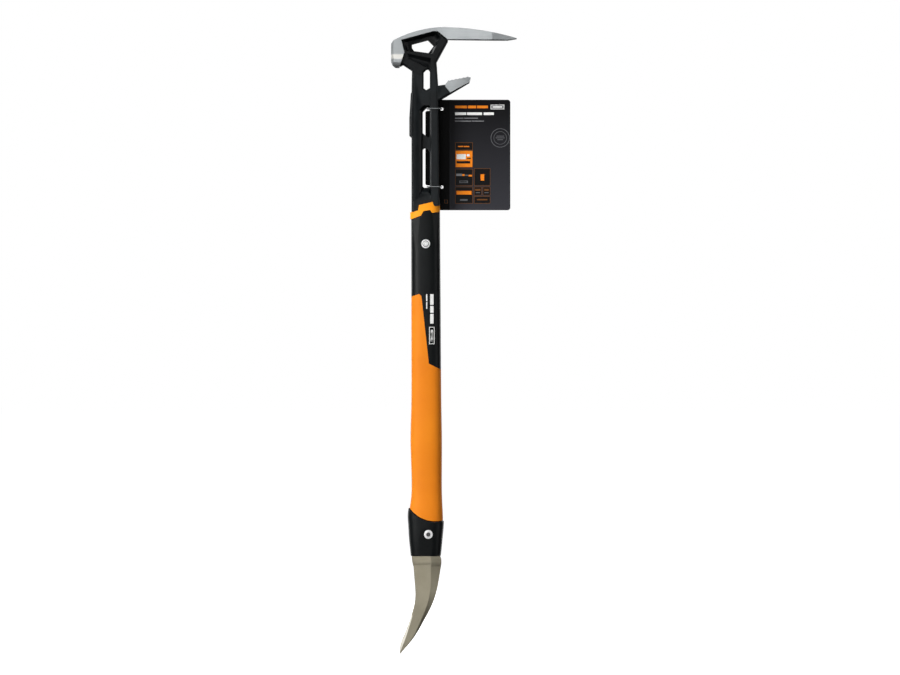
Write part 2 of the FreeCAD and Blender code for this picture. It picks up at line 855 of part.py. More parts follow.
def domed_head(x, z, under_y):
    """A screw head that faces -Y, with a rounded rim."""
    head = rod_y(screw_head_radius, under_y - screw_head_height, under_y, x, z)
    outer = [e for e in head.Edges if abs(e.CenterOfMass.y - (under_y - screw_head_height)) < 0.01]
    return head.makeFillet(screw_head_round, outer)


def screw(x, z, surface):
    """The screw comes in from -Y and turns into the sleeve nut."""
    mouth = -(surface + head_proud)
    under = mouth + screw_head_height
    body = rod_y(screw_radius, under - 0.5, under + screw_thread_length, x, z)
    return domed_head(x, z, under).fuse(body).cut(hex_socket(x, z, mouth)).removeSplitter()


def sleeve_nut(x, z, surface):
    """A tube with a head at +Y. Its far end stops just short of the screw's head."""
    mouth = surface + head_proud
    under = mouth - screw_head_height
    head = domed_head(x, z, -under).mirror(V(0, 0, 0), DEEP)
    barrel = rod_y(sleeve_radius, -under + 0.3, under + 0.5, x, z)
    bore = rod_y(sleeve_radius - sleeve_wall, -far, -under + screw_thread_length + 2, x, z)
    socket = hex_socket(x, z, -mouth).mirror(V(0, 0, 0), DEEP)
    return head.fuse(barrel).cut([bore, socket]).removeSplitter()


def washers(x, z, surface):
    """A pair of cup washers, one round each head."""
    under = surface + head_proud - screw_head_height
    ring = rod_y(washer_radius, -under - washer_lip, -under + washer_height, x, z)
    front = [e for e in ring.Edges if abs(e.CenterOfMass.y + under + washer_lip) < 0.01]
    ring = ring.makeChamfer(washer_bevel, front)
    ring = ring.cut(rod_y(screw_head_radius + head_gap, -far, -under, x, z))
    ring = ring.cut(rod_y(sleeve_radius + running_gap, -far, far, x, z))
    return Part.makeCompound(both_sides(ring))


def bush(x, z):
    """A rubber tube between the sleeve nut and the tang."""
    outer = rod_y(bush_radius, -tang_half_depth, tang_half_depth, x, z)
    return outer.cut(rod_y(sleeve_radius, -far, far, x, z))


# Card and ties.


def hang_card():
    """A stiff card with a tab that goes behind the shank, between the two ties."""
    low = card_top_z - card_height
    right = card_left + card_width
    card = block((card_left, shank_back, low), (right, shank_back + card_thickness, card_top_z))
    corners = [e for e in card.Edges if e.BoundBox.XMin > right - 0.01 and e.BoundBox.YLength > 0.1]
    corners = [e for e in corners if e.Length < 1.5 * card_thickness]
    card = card.makeFillet(card_corner, corners)
    tab_left = card_left - card_tab_reach
    tab_low = lower_tie_z + tie_radius + card_tab_gap
    tab_high = upper_tie_z - tie_radius - card_tab_gap
    tab = block((tab_left, shank_back, tab_low), (card_left + 1, shank_back + card_thickness, tab_high))
    ends = [e for e in tab.Edges if e.BoundBox.XMax < tab_left + 0.01 and e.Length < 1.5 * card_thickness]
    tab = tab.makeFillet(card_tab_corner, ends)
    holes = [screw_hole(card_hole_radius, hole_x, z) for z in (upper_tie_z, lower_tie_z)]
    return card.fuse(tab).cut(holes).removeSplitter()


def card_tie(z):
    """A closed loop that goes through a slot, round the shank's flange and through the card."""
    left, right = tie_x, hole_x
    front = -shank_half - tie_clearance - tie_radius
    back = shank_back + card_thickness + tie_slack + tie_radius
    b = tie_bend
    s = b * (1 - math.sqrt(0.5))
    start = (left + b, front)
    steps = [
        (right - b, front),
        ((right - s, front + s), (right, front + b)),
        (right, back - b),
        ((right - s, back - s), (right - b, back)),
        (left + b, back),
        ((left + s, back - s), (left, back - b)),
        (left, front + b),
        ((left + s, front + s), start),
    ]
    path = outline(start, steps, lambda p: in_xy(p, z))
    ring = Part.Wire([Part.makeCircle(tie_radius, in_xy(start, z), SIDEWAYS)])
    return path.makePipeShell([ring], True, False)


parts = {
    "head_forging": head_forging,
    "claw_forging": claw_forging,
    "core_tube": core_tube,
    "joint_band": joint_band,
    "upper_isolator": upper_isolator,
    "lower_isolator": lower_isolator,
    "handle_shell": handle_shell,
    "soft_grip": soft_grip,
    "end_collar": end_collar,
    "upper_screw": lambda: screw(upper_screw_x, upper_screw_z, upper_surface),
    "upper_sleeve_nut": lambda: sleeve_nut(upper_screw_x, upper_screw_z, upper_surface),
    "upper_washers": lambda: washers(upper_screw_x, upper_screw_z, upper_surface),
    "upper_bush": lambda: bush(upper_screw_x, upper_screw_z),
    "lower_screw": lambda: screw(lower_screw_x, lower_screw_z, lower_surface),
    "lower_sleeve_nut": lambda: sleeve_nut(lower_screw_x, lower_screw_z, lower_surface),
    "lower_washers": lambda: washers(lower_screw_x, lower_screw_z, lower_surface),
    "lower_bush": lambda: bush(lower_screw_x, lower_screw_z),
    "hang_card": hang_card,
    "upper_card_tie": lambda: card_tie(upper_tie_z),
    "lower_card_tie": lambda: card_tie(lower_tie_z),
}

os.makedirs("parts", exist_ok=True)
for name, make in parts.items():
    shape = make()
    solids = shape.Solids
    print(f"{name:18} solids {len(solids)}  valid {shape.isValid()}  volume {shape.Volume:10.1f}")
    shape.exportStep(f"parts/{name}.step")
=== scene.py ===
import bpy
import bmesh
import math
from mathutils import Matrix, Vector
from mathutils.bvhtree import BVHTree


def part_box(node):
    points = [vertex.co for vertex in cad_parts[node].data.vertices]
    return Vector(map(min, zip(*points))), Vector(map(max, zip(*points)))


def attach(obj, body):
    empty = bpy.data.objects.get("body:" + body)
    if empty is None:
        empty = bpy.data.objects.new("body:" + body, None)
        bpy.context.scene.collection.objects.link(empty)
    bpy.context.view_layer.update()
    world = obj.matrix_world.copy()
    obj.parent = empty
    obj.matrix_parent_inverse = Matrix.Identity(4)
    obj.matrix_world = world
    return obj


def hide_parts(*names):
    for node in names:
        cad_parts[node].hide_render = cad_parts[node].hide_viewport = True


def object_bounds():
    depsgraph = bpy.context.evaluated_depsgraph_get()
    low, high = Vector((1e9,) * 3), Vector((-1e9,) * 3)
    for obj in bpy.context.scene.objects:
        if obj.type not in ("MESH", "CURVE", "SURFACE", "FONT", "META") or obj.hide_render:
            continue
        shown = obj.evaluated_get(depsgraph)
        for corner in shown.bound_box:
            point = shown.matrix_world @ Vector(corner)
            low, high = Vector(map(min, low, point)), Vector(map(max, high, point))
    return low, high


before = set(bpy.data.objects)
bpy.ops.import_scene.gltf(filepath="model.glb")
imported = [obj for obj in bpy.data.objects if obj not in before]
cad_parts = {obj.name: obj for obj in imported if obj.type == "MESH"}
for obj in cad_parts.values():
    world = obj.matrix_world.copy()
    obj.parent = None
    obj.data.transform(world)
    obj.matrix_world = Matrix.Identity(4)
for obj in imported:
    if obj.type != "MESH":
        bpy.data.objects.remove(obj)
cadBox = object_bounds()
scene = bpy.context.scene
mm = 0.001
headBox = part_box("head_forging")
neckHeight = headBox[1][2] - 52.5 * mm  # where the head meets the shank
weldGap = 0.002 * mm  # vertices nearer than this are one
tinyGap = 0.001 * mm


def linearColour(red, green, blue):
    # 0 to 255 as a paint chart gives them, turned into scene values
    out = []
    for value in (red, green, blue):
        share = value / 255
        out.append(share / 12.92 if share < 0.04045 else ((share + 0.055) / 1.055) ** 2.4)
    return (*out, 1.0)


# small helpers for the shaders

def newMaterial(name):
    material = bpy.data.materials.new(name)
    material.use_nodes = True
    tree = material.node_tree
    return material, tree, tree.nodes["Principled BSDF"]


def addNode(tree, kind, **settings):
    node = tree.nodes.new(kind)
    for key, value in settings.items():
        setattr(node, key, value)
    return node


def objectPattern(tree, scale=(1, 1, 1), place=(0, 0, 0)):
    coords = addNode(tree, "ShaderNodeTexCoord")
    mapping = addNode(tree, "ShaderNodeMapping")
    mapping.inputs["Scale"].default_value = scale
    mapping.inputs["Location"].default_value = place
    tree.links.new(coords.outputs["Object"], mapping.inputs["Vector"])
    return mapping.outputs["Vector"]


def noise(tree, vector, scale, detail=3.0, roughness=0.55):
    node = addNode(tree, "ShaderNodeTexNoise")
    node.inputs["Scale"].default_value = scale
    node.inputs["Detail"].default_value = detail
    node.inputs["Roughness"].default_value = roughness
    tree.links.new(vector, node.inputs["Vector"])
    return node.outputs["Fac"]


def ramp(tree, fac, stops):
    node = addNode(tree, "ShaderNodeValToRGB")
    elements = node.color_ramp.elements
    while len(elements) < len(stops):
        elements.new(0.5)
    for element, (position, colour) in zip(elements, stops):
        element.position = position
        element.color = colour if len(colour) == 4 else (*colour, 1)
    tree.links.new(fac, node.inputs["Fac"])
    return node.outputs["Color"]


def remap(tree, value, low, high, fromLow=0.25, fromHigh=0.75):
    node = addNode(tree, "ShaderNodeMapRange")
    node.inputs["From Min"].default_value = fromLow
    node.inputs["From Max"].default_value = fromHigh
    node.inputs["To Min"].default_value = low
    node.inputs["To Max"].default_value = high
    tree.links.new(value, node.inputs["Value"])
    return node.outputs["Result"]


def splitAxes(tree, vector):
    node = addNode(tree, "ShaderNodeSeparateXYZ")
    tree.links.new(vector, node.inputs["Vector"])
    return node.outputs


def mathNode(tree, operation, first, second=0):
    node = addNode(tree, "ShaderNodeMath", operation=operation)
    for socket, value in zip(node.inputs, (first, second)):
        if isinstance(value, (int, float)):
            socket.default_value = value
        else:
            tree.links.new(value, socket)
    return node.outputs["Value"]


def bump(tree, shader, height, strength, distance):
    node = addNode(tree, "ShaderNodeBump")
    node.inputs["Strength"].default_value = strength
    node.inputs["Distance"].default_value = distance
    tree.links.new(height, node.inputs["Height"])
    tree.links.new(node.outputs["Normal"], shader.inputs["Normal"])


# one function for each finish

def makeBlackCoat():
    # baked black coating on the forging, with a soft orange peel and painted shade round the window
    material, tree, shader = newMaterial("blackCoat")
    space = objectPattern(tree)
    cloudy = noise(tree, space, 60, 4)
    peel = noise(tree, space, 900, 2)
    # painted shade: the coat is made blacker round the window's deep recess than down the shank
    height = splitAxes(tree, space)["Z"]
    windowShade = remap(tree, height, 0, 0.35, neckHeight - 6 * mm, neckHeight + 12 * mm)
    tone = mathNode(tree, "SUBTRACT", cloudy, windowShade)
    shades = [(0.1, linearColour(1, 2, 3)), (0.3, linearColour(9, 12, 14)), (0.7, linearColour(18, 23, 25))]
    tree.links.new(ramp(tree, tone, shades), shader.inputs["Base Color"])
    tree.links.new(remap(tree, cloudy, 0.36, 0.5), shader.inputs["Roughness"])
    shader.inputs["Specular IOR Level"].default_value = 0.2
    bump(tree, shader, peel, 0.25, 0.0002)
    return material


# painted highlight on the poll: where the bright band lies and how far it runs
pollHighlight = {
    "height": headBox[1][2] - 36 * mm,  # its middle
    "half": 4 * mm,
    "end": -27 * mm,  # it runs from the striking face to here
    "fade": 1 * mm,
}


def makeGroundSteel():
    # bright ground steel, with fine lines that run along X and a painted highlight across the poll
    material, tree, shader = newMaterial("groundSteel")
    lines = noise(tree, objectPattern(tree, (14, 60, 700)), 2, 4, 0.6)
    cloudy = noise(tree, objectPattern(tree), 38, 4)
    tone = mathNode(tree, "ADD", mathNode(tree, "MULTIPLY", lines, 0.35),
                    mathNode(tree, "MULTIPLY", cloudy, 0.65))
    # painted highlight: a brighter band across the poll's lower rounding, where light catches it
    place = splitAxes(tree, objectPattern(tree))
    away = mathNode(tree, "ABSOLUTE", mathNode(tree, "SUBTRACT", place["Z"], pollHighlight["height"]))
    band = mathNode(tree, "MULTIPLY", remap(tree, away, 1, 0, pollHighlight["half"] / 2, pollHighlight["half"]),
                    remap(tree, place["X"], 1, 0, pollHighlight["end"] - pollHighlight["fade"], pollHighlight["end"]))
    tone = mathNode(tree, "ADD", tone, mathNode(tree, "MULTIPLY", band, 0.5))
    shades = [(0.3, (0.31, 0.33, 0.34)), (0.7, (0.43, 0.45, 0.457)), (1.0, (0.75, 0.74, 0.7))]
    tree.links.new(ramp(tree, tone, shades), shader.inputs["Base Color"])
    shader.inputs["Metallic"].default_value = 0.72
    tree.links.new(remap(tree, cloudy, 0.34, 0.46), shader.inputs["Roughness"])
    bump(tree, shader, lines, 0.07, 0.0002)
    return material


def makeBareSteel():
    # bare forged steel of the lower claw
    material, tree, shader = newMaterial("bareSteel")
    grain = noise(tree, objectPattern(tree, (420, 60, 30)), 3, 4, 0.6)
    cloudy = noise(tree, objectPattern(tree), 34, 5)
    tree.links.new(ramp(tree, cloudy, [(0.3, (0.243, 0.219, 0.158)), (0.7, (0.308, 0.28, 0.208))]),
                   shader.inputs["Base Color"])
    shader.inputs["Metallic"].default_value = 0.75
    tree.links.new(remap(tree, grain, 0.4, 0.52), shader.inputs["Roughness"])
    bump(tree, shader, grain, 0.1, 0.0002)
    return material


def makeCutEdge():
    # the end of the lower claw's hollow side, ground bright
    material, tree, shader = newMaterial("cutEdge")
    lines = noise(tree, objectPattern(tree, (60, 500, 60)), 4, 3, 0.5)
    tree.links.new(ramp(tree, lines, [(0.3, (0.74, 0.7, 0.6)), (0.7, (0.88, 0.85, 0.76))]),
                   shader.inputs["Base Color"])
    shader.inputs["Metallic"].default_value = 0.45
    tree.links.new(remap(tree, lines, 0.26, 0.4), shader.inputs["Roughness"])
    bump(tree, shader, lines, 0.06, 0.0001)
    return material


def makeShellPlastic():
    material, tree, shader = newMaterial("shellPlastic")
    space = objectPattern(tree)
    grain = noise(tree, space, 2200, 2)
    cloudy = noise(tree, space, 25, 3)
    tree.links.new(ramp(tree, cloudy, [(0.3, linearColour(7, 9, 10)), (0.7, linearColour(12, 15, 16))]),
                   shader.inputs["Base Color"])
    tree.links.new(remap(tree, grain, 0.38, 0.5), shader.inputs["Roughness"])
    shader.inputs["Specular IOR Level"].default_value = 0.15
    bump(tree, shader, grain, 0.2, 0.0001)
    return material


def makeGripRubber():
    # soft orange rubber with a fine dot pattern, slightly mottled
    material, tree, shader = newMaterial("gripRubber")
    space = objectPattern(tree)
    cloudy = noise(tree, space, 18, 4)
    dots = addNode(tree, "ShaderNodeTexVoronoi", feature="F1")
    dots.inputs["Scale"].default_value = 800
    tree.links.new(space, dots.inputs["Vector"])
    tree.links.new(ramp(tree, cloudy, [(0.3, linearColour(223, 123, 12)), (0.7, linearColour(231, 133, 16))]),
                   shader.inputs["Base Color"])
    tree.links.new(remap(tree, dots.outputs["Distance"], 0.78, 0.62, 0.0, 0.6), shader.inputs["Roughness"])
    shader.inputs["Specular IOR Level"].default_value = 0.22
    bump(tree, shader, dots.outputs["Distance"], 0.35, 0.0002)
    return material


def makeIsolatorRubber():
    material, tree, shader = newMaterial("isolatorRubber")
    space = objectPattern(tree)
    cloudy = noise(tree, space, 120, 3)
    tree.links.new(ramp(tree, cloudy, [(0.3, linearColour(250, 150, 14)), (0.7, linearColour(255, 162, 20))]),
                   shader.inputs["Base Color"])
    tree.links.new(remap(tree, cloudy, 0.5, 0.65), shader.inputs["Roughness"])
    shader.inputs["Specular IOR Level"].default_value = 0.25
    bump(tree, shader, noise(tree, space, 1500, 2), 0.15, 0.0001)
    return material


boltReach = 6.0  # millimetres from a bolt's middle, the length of its ramp of tones


def makeBoltSteel(name, boltNode, stops):
    # bright zinc whose tone changes in rings round the bolt, with painted shade: dark in the socket and in
    # the groove
    low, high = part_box(boltNode)
    material, tree, shader = newMaterial(name)
    centre = (-(low[0] + high[0]) / 2, 0, -(low[2] + high[2]) / 2)
    flat = objectPattern(tree, (1, 0, 1), place=centre)
    length = addNode(tree, "ShaderNodeVectorMath", operation="LENGTH")
    tree.links.new(flat, length.inputs[0])
    mottled = noise(tree, objectPattern(tree), 900, 3)
    wobble = mathNode(tree, "MULTIPLY", mathNode(tree, "SUBTRACT", mottled, 0.5), 0.12)
    share = mathNode(tree, "ADD", mathNode(tree, "DIVIDE", length.outputs["Value"], boltReach * mm), wobble)
    tree.links.new(ramp(tree, share, [(radius / boltReach, (tone,) * 3) for radius, tone in stops]),
                   shader.inputs["Base Color"])
    shader.inputs["Metallic"].default_value = 0.5
    tree.links.new(remap(tree, mottled, 0.3, 0.45), shader.inputs["Roughness"])
    return material


def makeTubeSteel():
    material, tree, shader = newMaterial("tubeSteel")
    cloudy = noise(tree, objectPattern(tree, (1, 1, 0.1)), 200, 3)
    tree.links.new(ramp(tree, cloudy, [(0.3, (0.05, 0.052, 0.055)), (0.7, (0.09, 0.092, 0.095))]),
                   shader.inputs["Base Color"])
    shader.inputs["Metallic"].default_value = 0.8
    shader.inputs["Roughness"].default_value = 0.5
    return material


def makeBushRubber():
    material, tree, shader = newMaterial("bushRubber")
    cloudy = noise(tree, objectPattern(tree), 300, 3)
    tree.links.new(ramp(tree, cloudy, [(0.3, (0.012, 0.012, 0.012)), (0.7, (0.02, 0.02, 0.02))]),
                   shader.inputs["Base Color"])
    shader.inputs["Roughness"].default_value = 0.7
    return material


def makeTieNylon():
    # smoky clear nylon
    material, tree, shader = newMaterial("tieNylon")
    cloudy = noise(tree, objectPattern(tree), 600, 2)
    tree.links.new(ramp(tree, cloudy, [(0.3, (0.14, 0.15, 0.155)), (0.7, (0.24, 0.25, 0.255))]),
                   shader.inputs["Base Color"])
    shader.inputs["Roughness"].default_value = 0.3
    shader.inputs["Specular IOR Level"].default_value = 0.4
    return material


card = {
    "foldX": 28.5 * mm,  # left of it the card is plain black
    "foldWidth": 0.1 * mm,
    "top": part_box("hang_card")[1][2],
    "front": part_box("hang_card")[0][1],
    "height": 134.6 * mm,
    "ink": 0.02 * mm,  # each layer of print stands this far out
    "ringMiddle": (61.8, 46.5),  # in millimetres, as the rest of the print
    "ringReach": 11.6,
    "ringWidth": 0.7,
    "innerReach": 8.0,
    "innerWidth": 0.5,
    "ringBars": (9.0, 11.0, 7.0),
    "barHeight": 0.8,
    "barStep": 2.2,
    "barsTop": 2.6,  # above the ring's middle
}


def makeCardBoard():
    # printed board: black at the top, a dark grey further down, and the strip left of the fold all black
    material, tree, shader = newMaterial("cardBoard")
    space = objectPattern(tree)
    fibre = noise(tree, space, 700, 3)
    place = splitAxes(tree, space)
    down = remap(tree, place["Z"], 0.0, 1.0, card["top"], card["top"] - card["height"])
    across = remap(tree, place["X"], 0.0, 1.0,
                   card["foldX"] - card["foldWidth"], card["foldX"] + card["foldWidth"])
    depth = mathNode(tree, "ADD", mathNode(tree, "MULTIPLY", down, 0.8), 0.2)
    depth = mathNode(tree, "MULTIPLY", depth, across)
    speckle = mathNode(tree, "MULTIPLY", mathNode(tree, "SUBTRACT", fibre, 0.5), 0.04)
    shades = [(0.04, linearColour(1, 1, 2)), (0.25, linearColour(15, 15, 17)),
              (1.0, linearColour(52, 52, 57))]
    tree.links.new(ramp(tree, mathNode(tree, "ADD", depth, speckle), shades), shader.inputs["Base Color"])
    tree.links.new(remap(tree, fibre, 0.4, 0.5), shader.inputs["Roughness"])
    shader.inputs["Specular IOR Level"].default_value = 0.07
    return material


def makeInk(name, red, green, blue):
    material, tree, shader = newMaterial(name)
    cloudy = noise(tree, objectPattern(tree), 500, 3)
    dim = [value * 0.94 for value in (red, green, blue)]
    tree.links.new(ramp(tree, cloudy, [(0.3, linearColour(*dim)), (0.7, linearColour(red, green, blue))]),
                   shader.inputs["Base Color"])
    tree.links.new(remap(tree, cloudy, 0.42, 0.52), shader.inputs["Roughness"])
    shader.inputs["Specular IOR Level"].default_value = 0.15
    return material


blackCoat = makeBlackCoat()
groundSteel = makeGroundSteel()
bareSteel = makeBareSteel()
shellPlastic = makeShellPlastic()
gripRubber = makeGripRubber()
isolatorRubber = makeIsolatorRubber()
# each bolt's tones from its middle outwards: a radius in millimetres, and how bright it is there; the dark
# rings are painted shade in the socket and the groove
upperBolt = makeBoltSteel("upperBoltSteel", "upper_screw",
                          [(0.0, 0.9), (1.1, 0.95), (1.6, 0.4), (2.1, 0.85), (3.0, 0.6),
                           (3.4, 0.1), (3.8, 0.2), (4.2, 0.95), (5.4, 0.8)])
lowerBolt = makeBoltSteel("lowerBoltSteel", "lower_screw",
                          [(0.0, 0.08), (2.4, 0.04), (2.7, 0.8), (3.4, 0.8),
                           (3.7, 0.55), (4.1, 0.85), (5.4, 0.75)])
cutEdge = makeCutEdge()
tubeSteel = makeTubeSteel()
bushRubber = makeBushRubber()
tieNylon = makeTieNylon()
cardBoard = makeCardBoard()
inkWhite = makeInk("inkWhite", 238, 238, 236)
inkGrey = makeInk("inkGrey", 120, 121, 123)
inkFaint = makeInk("inkFaint", 92, 93, 96)
inkOrange = makeInk("inkOrange", 240, 132, 20)
inkBrown = makeInk("inkBrown", 104, 62, 22)
inkBlack = makeInk("inkBlack", 3, 3, 4)
print("materials made")

nodeFinishes = {
    "head_forging": blackCoat,
    "claw_forging": bareSteel,
    "core_tube": tubeSteel,
    "joint_band": isolatorRubber,
    "upper_isolator": isolatorRubber,
    "lower_isolator": isolatorRubber,
    "handle_shell": shellPlastic,
    "soft_grip": gripRubber,
    "end_collar": shellPlastic,
    "upper_screw": upperBolt,
    "upper_sleeve_nut": upperBolt,
    "upper_washers": upperBolt,
    "upper_bush": bushRubber,
    "lower_screw": lowerBolt,
    "lower_sleeve_nut": lowerBolt,
    "lower_washers": lowerBolt,
    "lower_bush": bushRubber,
    "hang_card": cardBoard,
    "upper_card_tie": tieNylon,
    "lower_card_tie": tieNylon,
}
for nodeName, finish in nodeFinishes.items():
    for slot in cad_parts[nodeName].material_slots:
        slot.material = finish
print("finishes set on", len(nodeFinishes), "nodes")


# the forgings keep their own faces, with two finishes on each

def mergedCopy(nodeName):
    # the imported mesh is loose triangles, so the copy is joined up
    bm = bmesh.new()
    bm.from_mesh(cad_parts[nodeName].data)
    bmesh.ops.remove_doubles(bm, verts=bm.verts[:], dist=weldGap)
    bmesh.ops.dissolve_degenerate(bm, edges=bm.edges[:], dist=tinyGap)
    bmesh.ops.recalc_face_normals(bm, faces=bm.faces[:])
    return bm


def joinFlats(bm):
    # each flat becomes one face, so that it shades as one
    bmesh.ops.dissolve_limit(bm, angle_limit=math.radians(0.3), verts=bm.verts[:], edges=bm.edges[:])


def cutLine(bm, place, normal):
    # a cut right through the copy, so that a finish can stop on a clean line
    everything = bm.verts[:] + bm.edges[:] + bm.faces[:]
    bmesh.ops.bisect_plane(bm, geom=everything, dist=tinyGap, plane_co=place, plane_no=normal)


def finishPiece(bm, name, body, materials, smoothAngle=None):
    mesh = bpy.data.meshes.new(name)
    bm.to_mesh(mesh)
    bm.free()
    for material in materials:
        mesh.materials.append(material)
    piece = bpy.data.objects.new(name, mesh)
    scene.collection.objects.link(piece)
    if smoothAngle is not None:
        for polygon in mesh.polygons:
            polygon.use_smooth = True
        mesh.set_sharp_from_angle(angle=math.radians(smoothAngle))
        weighted = piece.modifiers.new("flatFaces", "WEIGHTED_NORMAL")
        weighted.keep_sharp = True
        weighted.weight = 100
    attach(piece, body)
    return piece


head = {
    "coatEnd": 2 * mm,  # heights are from the neck; below this one all is coated, but for the tine
    "ridgeStart": 38 * mm,  # the ridge and the claw are ground from here up
    "pollTop": 30 * mm,  # over the poll the grinding comes down to here
    "pollEnd": -30 * mm,
    "pollFace": 10 * mm,  # how far back from the striking face the poll is ground all round
    "frameHalf": 12.5 * mm,  # the black frame's half depth; the ground steel stands further out
    "frameEnd": 30 * mm,  # the black frame reaches this far towards the claw
    "tipGround": 15 * mm,  # the last of the claw is ground underneath too
    "tineStart": 23.2 * mm,  # where the grinding on the tine starts
    "tineReach": 60 * mm,
    "tineLow": -30 * mm,
    "tineHigh": -4 * mm,
}


def isGroundFace(centre, normal):
    # the poll, the ridge, the claw's sides and top and the tine's end are ground bright
    # a number beside a normal is how far the face leans that way
    above = centre.z - neckHeight
    onHead = above > head["coatEnd"]
    if onHead and abs(centre.y) > head["frameHalf"] + 0.1 * mm and abs(normal.y) > 0.5:
        return True
    onFrame = centre.x < head["frameEnd"] and abs(centre.y) < head["frameHalf"] and abs(normal.y) > 0.05
    groundFrom = head["pollTop"] if centre.x < head["pollEnd"] else head["ridgeStart"]
    if normal.z > 0.15 and not onFrame and above > groundFrom:
        return True
    if centre.x < headBox[0][0] + head["pollFace"] and onHead and normal.x < 0.3 and abs(normal.y) < 0.9:
        return True
    if above > head["pollTop"] and centre.x > headBox[1][0] - head["tipGround"]:
        return True
    alongTine = head["tineStart"] < centre.x < head["tineReach"]
    onTine = alongTine and head["tineLow"] < above < head["tineHigh"]
    return onTine and (abs(normal.y) > 0.97 or normal.z > 0.1 or normal.x > 0.8)


def makeHead():
    bm = mergedCopy("head_forging")
    joinFlats(bm)
    cutLine(bm, (headBox[1][0] - head["tipGround"], 0, 0), (1, 0, 0))
    for face in bm.faces:
        face.material_index = 1 if isGroundFace(face.calc_center_median(), face.normal) else 0
    piece = finishPiece(bm, "headForging", "bar", [blackCoat, groundSteel], smoothAngle=22)
    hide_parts("head_forging")


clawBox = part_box("claw_forging")
claw = {
    "edgeLength": 47 * mm,  # how far up its hollow side the claw is ground bright
}


def makeClaw():
    bm = mergedCopy("claw_forging")
    joinFlats(bm)
    cutLine(bm, (0, 0, clawBox[0][2] + claw["edgeLength"]), (0, 0, 1))
    for face in bm.faces:
        low = face.calc_center_median().z < clawBox[0][2] + claw["edgeLength"]
        face.material_index = 1 if low and face.normal.x < -0.3 else 0
    piece = finishPiece(bm, "clawForging", "bar", [bareSteel, cutEdge], smoothAngle=12)
    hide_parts("claw_forging")


makeHead()
makeClaw()
print("forgings made")


# print on the card: plain blocks only, in millimetres right of the fold and down from the card's top
cardInks = [inkWhite, inkGrey, inkFaint, inkOrange, inkBrown, inkBlack]
cardColumns = {"left": (7.0, 28.3), "right": (29.9, 49.7), "rightA": (29.9, 39.1), "rightB": (40.5, 49.7)}
panelEdge = 0.5
cardHeadings = [
    (inkOrange, 6.7, 21.5, 7.1, 10.4), (inkOrange, 22.6, 32.4, 7.1, 10.4), (inkOrange, 33.5, 46.8, 7.1, 10.4),
    (inkWhite, 6.7, 20.4, 15.4, 18.6), (inkWhite, 21.4, 39.6, 15.4, 18.6), (inkWhite, 41.6, 54.1, 15.4, 18.6),
    (inkGrey, 6.7, 17.0, 21.9, 23.1), (inkGrey, 17.8, 34.6, 21.9, 23.1),
    (inkGrey, 6.7, 26.4, 25.4, 26.6), (inkGrey, 27.2, 41.9, 25.4, 26.6),
]
# a white frame round a grey bar beside the first heading, and a little frame at the foot of the black strip
cardBadge = [(inkWhite, 50.1, 66.7, 6.0, 11.6), (inkFaint, 50.8, 66.0, 6.7, 10.9),
             (inkWhite, 52.6, 64.2, 8.0, 9.6)]
stripFrame = [(inkBrown, -6.3, -2.0, 121.8, 126.4), (inkBlack, -5.8, -2.5, 122.3, 125.9)]
# each panel: its column, its top and bottom, its fill, and the blocks in it measured from its left and top
cardPanels = [
    ("left", 52.1, 61.4, inkBlack, [(inkOrange, 3.4, 9.4, 4.2, 5.5), (inkOrange, 10.2, 17.0, 4.2, 5.5)]),
    ("left", 61.7, 82.5, inkOrange, [(inkWhite, 1.6, 13.0, 4.6, 10.8), (inkWhite, 14.2, 17.4, 4.6, 7.2),
                                     (inkBlack, 1.6, 18.2, 13.0, 16.0), (inkBlack, 14.2, 19.2, 9.0, 10.4)]),
    ("left", 84.3, 104.7, inkBlack, [(inkGrey, 1.2, 8.4, 5.8, 8.6), (inkOrange, 8.6, 11.4, 6.2, 8.6),
                                     (inkFaint, 11.6, 16.0, 7.0, 8.4), (inkOrange, 16.2, 20.4, 7.2, 9.2),
                                     (inkFaint, 5.0, 15.6, 14.2, 17.2), (inkBlack, 6.2, 14.4, 15.0, 16.4)]),
    ("right", 83.7, 104.7, inkBlack, [(inkOrange, 8.0, 12.4, 7.0, 14.8)]),
    ("rightA", 106.0, 116.5, inkBlack, [(inkBrown, 1.4, 7.8, 2.6, 5.0), (inkFaint, 2.0, 7.2, 6.8, 7.8)]),
    ("rightB", 106.0, 116.5, inkBlack, [(inkBrown, 1.8, 7.2, 2.6, 5.0), (inkFaint, 2.0, 7.2, 6.8, 7.8)]),
    ("left", 106.0, 126.4, inkBlack, [(inkOrange, 1.4, 19.8, 5.0, 9.6), (inkFaint, 5.8, 15.0, 15.0, 17.2)]),
    ("right", 117.7, 126.4, inkBlack, [(inkBrown, 3.4, 16.2, 3.2, 4.8)]),
]


def printBlock(bm, ink, left, right, top, bottom, layer):
    made = bmesh.ops.create_cube(bm, size=1)["verts"]
    bmesh.ops.scale(bm, verts=made, vec=((right - left) * mm, card["ink"], (bottom - top) * mm))
    place = (card["foldX"] + (left + right) / 2 * mm, card["front"] - card["ink"] * (layer - 0.5),
             card["top"] - (top + bottom) / 2 * mm)
    bmesh.ops.translate(bm, verts=made, vec=place)
    for face in {face for vert in made for face in vert.link_faces}:
        face.material_index = cardInks.index(ink)


def printRing(bm, reach, width):
    # a flat hoop: a short edge spun all the way round
    x = card["foldX"] + card["ringMiddle"][0] * mm
    z = card["top"] - card["ringMiddle"][1] * mm
    y = card["front"] - card["ink"]
    inner = bm.verts.new((x + (reach - width) * mm, y, z))
    outer = bm.verts.new((x + reach * mm, y, z))
    edge = bm.edges.new((inner, outer))
    bmesh.ops.spin(bm, geom=[inner, outer, edge], cent=(x, y, z), axis=(0, 1, 0),
                   angle=math.tau, steps=64, use_merge=True)


